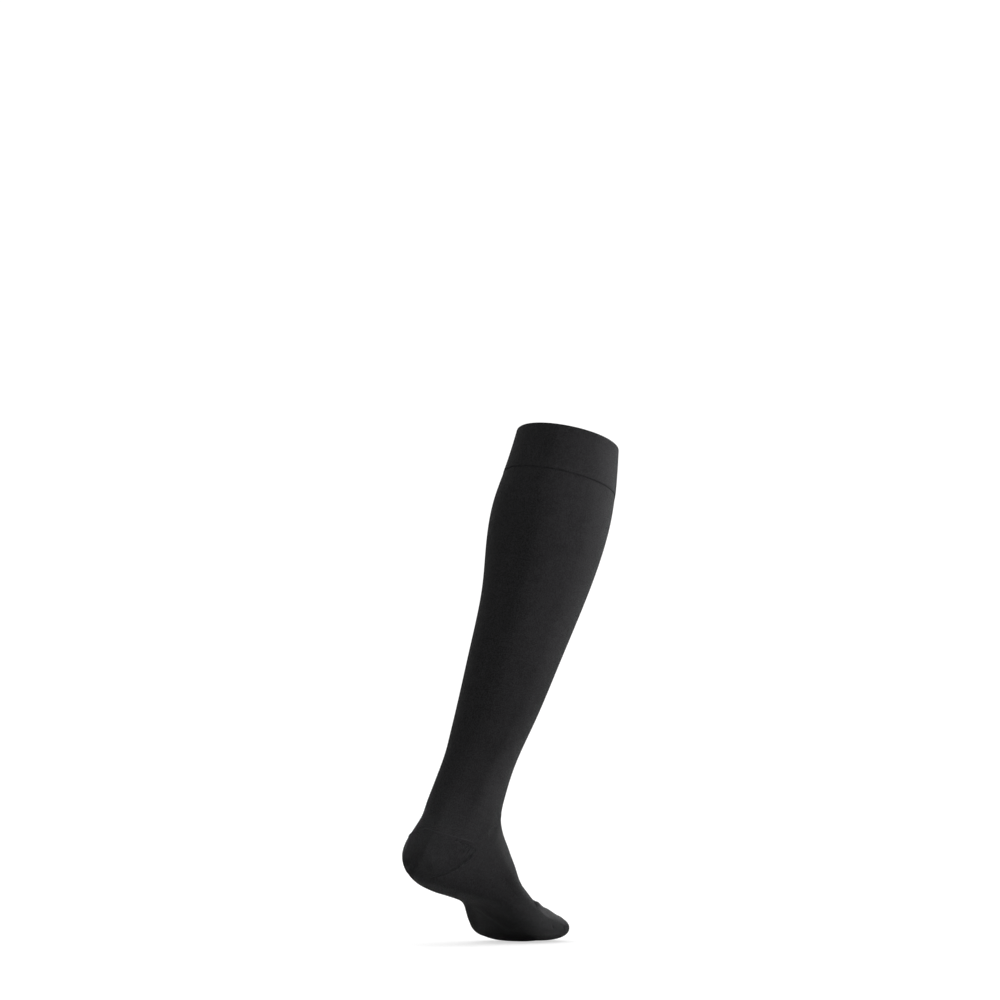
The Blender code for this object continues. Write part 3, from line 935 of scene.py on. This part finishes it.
# a darker yarn colour: painted shade for the loops that lie in the groove under the pocket
GROOVE_SHADE_YARN = yarn_material("groove_shade_yarn", (0.0028, 0.0028, 0.0030), (0.0062, 0.0062, 0.0065))
print("yarns:", [m.name for m in (LINKING_YARN, RIDGE_HIGHLIGHT_YARN, GROOVE_SHADE_YARN)])

# %% Grains of yarn along a line
GRAIN_SIDES = 6
GRAIN_PLACES = np.linspace(0.0, 1.0, 6)[1:-1]       # rings along a grain, between its two points
GRAIN_TAPER = 0.7       # smaller is blunter
LOOP_SPREAD = 0.62      # of a grain's width, from a loop's middle to each of its two grains
LOOK_AHEAD = 0.1        # mm along the line, to find which way it runs


def grain(length, width, height):
    """Points and faces of one rounded grain: along, to the side and up."""
    points = [(-length / 2, 0.0, 0.0)]
    for place in GRAIN_PLACES:
        along = -length / 2 * np.cos(pi * place)
        radius = np.sin(pi * place) ** GRAIN_TAPER
        for k in range(GRAIN_SIDES):
            turn = 2 * pi * k / GRAIN_SIDES
            points.append((along, radius * width / 2 * np.cos(turn), radius * height / 2 * np.sin(turn)))
    points.append((length / 2, 0.0, 0.0))
    last = len(points) - 1
    faces = []
    for k in range(GRAIN_SIDES):
        j = (k + 1) % GRAIN_SIDES
        faces.append((0, 1 + j, 1 + k))
        faces.append((last, last - GRAIN_SIDES + k, last - GRAIN_SIDES + j))
        for ring in range(len(GRAIN_PLACES) - 1):
            base = 1 + ring * GRAIN_SIDES
            faces.append((base + k, base + j, base + GRAIN_SIDES + j, base + GRAIN_SIDES + k))
    return np.array(points), faces


def read_along(wanted, length, values):
    """Vectors at these lengths along a line, from the ones at its points."""
    return np.stack([np.interp(wanted, length, values[:, k]) for k in range(3)], axis=-1)


def loops_along(name, yarn, rows, angles, count, size, slant, lift):
    """Pairs of slanted grains, count of them, evenly along a line on the cloth."""
    rows, angles = np.broadcast_arrays(rows, angles)
    points, normals = skin(rows, angles, extra=lift), outward_normal(rows, angles)
    steps = np.linalg.norm(np.diff(points, axis=0), axis=-1)
    length = np.concatenate(((0.0,), np.cumsum(steps)))
    wanted = (np.arange(count) + 0.5) / count * length[-1]
    centre = read_along(wanted, length, points)
    ahead = unit(read_along(wanted + LOOK_AHEAD, length, points) - centre)
    up = read_along(wanted, length, normals)
    side = unit(np.cross(up, ahead))
    shape, faces = grain(*size)
    all_points, all_faces = [], []
    for lean in (-1.0, 1.0):
        tilt = radians(slant) * lean
        along = ahead * np.cos(tilt) + side * np.sin(tilt)
        across = side * np.cos(tilt) - ahead * np.sin(tilt)
        points = (centre + side * lean * size[1] * LOOP_SPREAD)[:, None]
        for k, way in enumerate((along, across, up)):
            points = points + shape[:, k, None] * way[:, None]
        all_points.append(points)
    all_points = np.concatenate(all_points)
    for k in range(len(all_points)):
        all_faces += [tuple(k * len(shape) + i for i in face) for face in faces]
    mesh = bpy.data.meshes.new(name)
    mesh.from_pydata((all_points.reshape(-1, 3) * MM).tolist(), [], all_faces)
    mesh.shade_smooth()
    piece = add_piece(name, mesh, yarn)
    print(name, "loops:", count, "triangles:", triangles(piece))
    return piece


BAND_LOOP = (1.05, 0.46, 0.40)      # length, width and height of a grain
BAND_SLANT = 24.0
LIFT_SLACK, LIFT_TIGHT = 0.30, 0.46     # the tighter the course, the deeper its loops sink
around = np.append(ANGLES, 2 * pi)
band_lift = LIFT_SLACK - LIFT_TIGHT * tightness(around)
band_linking = loops_along("band_linking", LINKING_YARN, band_row(around), around, WALES,
                           BAND_LOOP, BAND_SLANT, band_lift)

# %% Along the pocket's edges
RIDGE_ABOVE = 0.13      # rows from the pocket's upper edge to the ridge over it
POCKET_LOOPS = 150
POCKET_SLANT = 22.0
OPEN_LOOP, OPEN_LIFT = (1.0, 0.42, 0.34), -0.05
SUNK_LOOP, SUNK_LIFT = (1.0, 0.36, 0.34), -0.15
POCKET_LINE = np.radians(np.linspace(CORNER_ANGLE, 360.0 - CORNER_ANGLE, 260))
ridge_line = pocket_top(POCKET_LINE) - RIDGE_ABOVE
# the ridge's loops carry the lighter yarn, a painted highlight
heel_upper_loops = loops_along("heel_upper_loops", RIDGE_HIGHLIGHT_YARN, ridge_line, POCKET_LINE,
                               POCKET_LOOPS, OPEN_LOOP, POCKET_SLANT, OPEN_LIFT)
# the loops in the groove carry the darker yarn, painted shade
heel_lower_loops = loops_along("heel_lower_loops", GROOVE_SHADE_YARN, pocket_low(POCKET_LINE), POCKET_LINE,
                               POCKET_LOOPS, SUNK_LOOP, POCKET_SLANT, SUNK_LIFT)

# %% Over the toes, from the little toe's side to the big toe's
TOE_LINE_ROWS = (19.20, 20.35, 20.95)
TOE_LINE_ANGLES = (-106, -8, 98)
TOE_LOOPS = 170
TOE_LOOP, TOE_SLANT, TOE_LIFT = (1.1, 0.42, 0.40), 26.0, 0.05
toe_share = np.linspace(0.0, 1.0, 220)
toe_rows = through_three(toe_share, *TOE_LINE_ROWS)
toe_angles = np.radians(through_three(toe_share, *TOE_LINE_ANGLES))
toe_linking = loops_along("toe_linking", LINKING_YARN, toe_rows, toe_angles,
                          TOE_LOOPS, TOE_LOOP, TOE_SLANT, TOE_LIFT)

# %% [markdown]
# ## Floor, light and camera
# A pale floor and a white surround give soft light from everywhere, as on a bright studio cove. The floor
# glows a little where the camera sees it, so no grey edge shows under the toes, and yet it throws little
# light up at the sole. Soft light from all sides alone would hide the folds of black cloth, so a key light
# stands high over the camera. A rim light behind and a soft one at the side draw the calf's left edge. The
# right side is broadly bright: two lamps with narrow beams give that on the calf. Four small ones do the
# same for the front of the ankle, the arch, and the top and side of the toes. Lamps light only the stocking
# and not the floor.

# %% Floor
FLOOR_RADIUS = 14.0
FLOOR_SIDES = 96
FLOOR_GAP = 0.4 * MM    # between the cloth and the floor
FLOOR_PAINT = (0.52, 0.52, 0.52, 1.0)
FLOOR_GLOW = 0.6
low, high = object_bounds()


def make_floor(height):
    bm = bmesh.new()
    bmesh.ops.create_circle(bm, cap_ends=True, segments=FLOOR_SIDES, radius=FLOOR_RADIUS)
    bmesh.ops.translate(bm, verts=bm.verts, vec=(0.0, 0.0, height))
    mesh = bpy.data.meshes.new("floor")
    bm.to_mesh(mesh)
    bm.free()
    paint = bpy.data.materials.new("pale_floor")
    paint.use_nodes = True
    tree = paint.node_tree
    shader = tree.nodes["Principled BSDF"]
    shader.inputs["Base Color"].default_value = FLOOR_PAINT
    shader.inputs["Emission Color"].default_value = WHITE
    path = tree.nodes.new("ShaderNodeLightPath")
    glow = math_node(tree, "MULTIPLY", path.outputs["Is Camera Ray"], FLOOR_GLOW)
    wire(tree, glow, shader.inputs["Emission Strength"])
    shader.inputs["Roughness"].default_value = 1.0
    shader.inputs["Specular IOR Level"].default_value = 0.0
    mesh.materials.append(paint)
    floor = add_object("floor", mesh)
    floor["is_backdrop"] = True


make_floor(low.z - FLOOR_GAP)
print("floor at", round(low.z - FLOOR_GAP, 4))

# %% Camera
from mathutils import Vector

CAMERA_TURN = 36.0      # degrees round from straight behind, towards the outer side
CAMERA_AWAY = 4.0       # metres, as all places of camera and lamps
CAMERA_ASIDE = -0.061
CAMERA_HEIGHT = -0.287
AIM_HEIGHT = -0.053
LENS = 160.0
CAMERA_SEES = 100.0
turn = radians(CAMERA_TURN)
RIGHT = Vector((-np.cos(turn), -np.sin(turn), 0.0))
BACK = Vector((-np.sin(turn), np.cos(turn), 0.0))


def aim(thing, target):
    thing.rotation_euler = (target - thing.location).to_track_quat("-Z", "Y").to_euler()


def make_camera():
    lens = bpy.data.cameras.new("camera")
    lens.lens = LENS
    lens.clip_end = CAMERA_SEES
    camera = add_object("camera", lens)
    camera.location = RIGHT * CAMERA_ASIDE + BACK * CAMERA_AWAY + Vector((0.0, 0.0, CAMERA_HEIGHT))
    aim(camera, RIGHT * CAMERA_ASIDE + Vector((0.0, 0.0, AIM_HEIGHT)))
    bpy.context.scene.camera = camera


make_camera()
print("camera at", [round(c, 3) for c in bpy.context.scene.camera.location])

# %% Lights
SURROUND = 1.06         # strength of the white all round
SPOTS = {
    "middle": Vector((0.0, 0.08, -0.22)),
    "calf": Vector((0.0, 0.05, -0.07)),
    "arch": Vector((0.0, 0.15, -0.405)),
    "shin": Vector((-0.005, 0.105, -0.3)),
    "toes": Vector((-0.02, 0.055, -0.425)),
}
STOCKING = bpy.data.collections.new("stocking")
for piece in (band_cloth, leg_cloth, heel_cloth, foot_cloth, toe_cloth, band_linking, heel_upper_loops,
              heel_lower_loops, toe_linking):
    STOCKING.objects.link(piece)
LIGHTS = (
    # name, aimed at, right, towards the camera, up, width, height, spread, watts
    ("key", "middle", 0.2, 1.7, 1.3, 0.8, 0.8, 180.0, 28.5),
    ("rim", "middle", -1.3, -1.5, 0.8, 1.0, 1.0, 180.0, 7.0),
    ("left", "middle", -2.0, 0.0, 0.4, 1.0, 1.0, 180.0, 4.5),
    ("side_behind", "calf", 1.6, -1.3, 0.5, 0.4, 0.4, 13.0, 1.4),
    ("side", "calf", 2.0, 0.3, 0.4, 0.4, 0.4, 13.0, 1.6),
    ("low", "arch", -0.4, 1.8, -0.05, 0.1, 0.1, 5.0, 0.135),
    ("shin_behind", "shin", 1.5, -1.1, -0.1, 0.06, 0.06, 4.0, 0.040),
    ("toes_behind", "toes", 0.4, -1.5, 0.9, 0.3, 0.3, 7.0, 0.55),
    ("toes_side", "toes", 1.5, 0.6, 0.3, 0.06, 0.06, 2.6, 0.042),
)


def make_light(name, spot, right, back, up, width, height, spread, watts):
    lamp = bpy.data.lights.new(name, "AREA")
    lamp.shape = "RECTANGLE"
    lamp.size, lamp.size_y = width, height
    lamp.spread = radians(spread)
    lamp.energy = watts
    light = add_object(name, lamp)
    light.location = SPOTS[spot] + RIGHT * right + BACK * back + Vector((0.0, 0.0, up))
    aim(light, SPOTS[spot])
    light.light_linking.receiver_collection = STOCKING


for row in LIGHTS:
    make_light(*row)

world = bpy.data.worlds.new("white surround")
world.use_nodes = True
background = world.node_tree.nodes["Background"]
background.inputs["Color"].default_value = WHITE
background.inputs["Strength"].default_value = SURROUND
bpy.context.scene.world = world
bpy.context.scene.view_settings.view_transform = "Standard"
print("lights:", [row[0] for row in LIGHTS])

# %% [markdown]
# ## Sizes at the end
# The cloth has to fill the same box as the solids. The cloth's box is printed, so that it can be set beside
# the solids' box after each render.

# %% Print the cloth's box
low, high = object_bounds()
print("cloth: ", [round(v, 4) for v in (*low, *high)])
